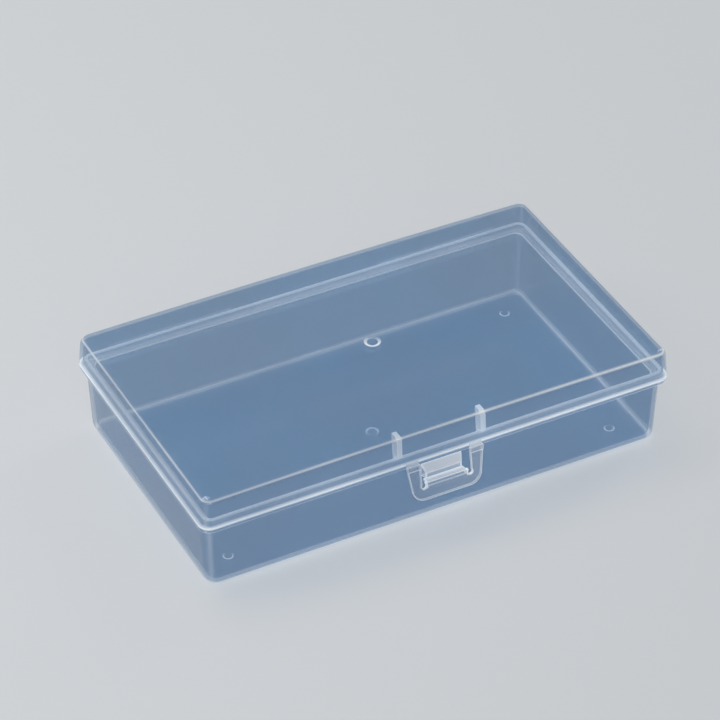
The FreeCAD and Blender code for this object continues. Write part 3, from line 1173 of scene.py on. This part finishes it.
def plastic():
    """Clear polypropylene: a tinted, glossy wall with a thin haze, and milky haze with painted highlights
    along the edges.
    """
    found = bpy.data.materials.get("milky_clear_plastic")
    if found:
        return found
    finish = settings().finish
    material = bpy.data.materials.new("milky_clear_plastic")
    desk = NodeDesk(material)
    place = desk.lay("TexCoord").outputs["Object"]
    flow = desk.lay("TexNoise", Vector=place, Scale=18, Detail=1).outputs["Fac"]
    gather = gathered_milk_and_highlight(desk, place, flow, finish)

    thin = desk.ramp(flow, 0.3, 0.7, finish.haze * 0.8, finish.haze * 1.2)
    # The attribute turns the wall whiter and more cloudy: milky haze in small parts, and painted highlights
    # along edges.
    cloud = desk.ramp(gather, 0, 1, thin, finish.edge_haze_and_highlight)
    tone = desk.nodes.new("ShaderNodeMix")
    tone.data_type = "RGBA"
    share, first, second = tone.inputs[0], tone.inputs[6], tone.inputs[7]
    desk.give(share, desk.ramp(gather, 0, 0.3, 0, 1))
    desk.give(first, (*finish.haze_tint, 1))
    desk.give(second, (*finish.milk_and_highlight_tint, 1))
    milk_and_highlight = desk.lay("BsdfTranslucent", Color=tone.outputs[2])
    body = desk.lay("BsdfDiffuse", Color=tone.outputs[2])
    haze = desk.mixed(0.5, milk_and_highlight.outputs[0], body.outputs[0])
    blend = desk.mixed(cloud, polished_wall(desk, flow, finish), haze)

    path = desk.lay("LightPath")
    lit = desk.lay("BsdfTransparent", Color=(*finish.shadow_tint, 1))
    shade = desk.mixed(path.outputs["Is Shadow Ray"], blend, lit.outputs[0])
    desk.lay("OutputMaterial", Surface=shade)
    return material


# Stage

def floor_material():
    """Plain matt grey."""
    material = bpy.data.materials.new("pale_floor")
    material.use_nodes = True
    shader = material.node_tree.nodes["Principled BSDF"]
    shader.inputs["Base Color"].default_value = (*settings().stage.floor_colour, 1)
    shader.inputs["Roughness"].default_value = 0.6
    return material


def hang_lamp(name, place, size, power):
    """Soft rectangular lamp at place, turned towards the middle of the floor."""
    light = bpy.data.lights.new(name, "AREA")
    light.shape = "RECTANGLE"
    light.size, light.size_y = size
    light.energy = power
    holder = bpy.data.objects.new(name, light)
    holder.location = place
    holder.rotation_euler = (-Vector(place)).to_track_quat("-Z", "Y").to_euler()
    bpy.context.scene.collection.objects.link(holder)


def lay_floor():
    """Wide floor just under the tray, so that their faces don't coincide."""
    reach = 3.0
    drop = 0.1 * MM
    bm = bmesh.new()
    bmesh.ops.create_grid(bm, x_segments=1, y_segments=1, size=reach)
    bmesh.ops.translate(bm, verts=bm.verts, vec=(0, 0, -drop))
    mesh = bpy.data.meshes.new("pale_floor")
    bm.to_mesh(mesh)
    bm.free()
    ground = bpy.data.objects.new("pale_floor", mesh)
    mesh.materials.append(floor_material())
    bpy.context.scene.collection.objects.link(ground)


def light_surroundings():
    """Even, soft light from all round."""
    stage = settings().stage
    world = bpy.data.worlds.new("surroundings")
    world.use_nodes = True
    background = world.node_tree.nodes["Background"]
    background.inputs["Color"].default_value = (*stage.sky_colour, 1)
    background.inputs["Strength"].default_value = stage.sky_strength
    bpy.context.scene.world = world


def stand_camera():
    """Camera at its place, turned by heading, pitch and roll."""
    stage = settings().stage
    optics = bpy.data.cameras.new("camera")
    optics.lens = stage.lens
    optics.sensor_width = 36
    optics.clip_start = 0.05
    eye = bpy.data.objects.new("camera", optics)
    turn = (
        Matrix.Rotation(stage.camera_heading, 4, "Z")
        @ Matrix.Rotation(QUARTER - stage.camera_pitch, 4, "X")
        @ Matrix.Rotation(stage.camera_roll, 4, "Z")
    )
    eye.matrix_world = Matrix.Translation(stage.camera_place) @ turn
    bpy.context.scene.collection.objects.link(eye)
    bpy.context.scene.camera = eye


class CRAFTBOX_OT_stage(Operator):
    """Lay the floor, hang the lamps and stand the camera"""

    bl_idname = "craftbox.stage"
    bl_label = "Stage"

    def execute(self, context):
        lay_floor()
        light_surroundings()
        for name, place, size, power in LAMPS:
            hang_lamp(name, place, size, power)
        stand_camera()
        context.scene.view_settings.view_transform = "Standard"
        context.scene.cycles.transparent_max_bounces = 32
        return {"FINISHED"}


class CRAFTBOX_PT_panel(Panel):
    """Lists the steps that build the box"""

    bl_idname = "CRAFTBOX_PT_panel"
    bl_label = "Craft Box"
    bl_space_type = "VIEW_3D"
    bl_region_type = "UI"
    bl_category = "Craft Box"

    def draw(self, context):
        for step in STEPS:
            self.layout.operator(step.bl_idname)


STEPS = (
    CRAFTBOX_OT_tray, CRAFTBOX_OT_lid, CRAFTBOX_OT_catch, CRAFTBOX_OT_ribs, CRAFTBOX_OT_latch,
    CRAFTBOX_OT_webs, CRAFTBOX_OT_straps, CRAFTBOX_OT_stage,
)
CLASSES = (
    BoxSizes, MarkSizes, LatchSizes, StageSettings, FinishSettings, CraftBox,
    *STEPS, CRAFTBOX_PT_panel,
)


def register():
    for cls in CLASSES:
        bpy.utils.register_class(cls)
    bpy.types.Scene.craft_box = PointerProperty(type=CraftBox)


def unregister():
    del bpy.types.Scene.craft_box
    for cls in reversed(CLASSES):
        bpy.utils.unregister_class(cls)


def main():
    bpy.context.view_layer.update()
    register()
    for step in STEPS:
        group, name = step.bl_idname.split(".")
        getattr(getattr(bpy.ops, group), name)()


if __name__ == "__main__":
    main()
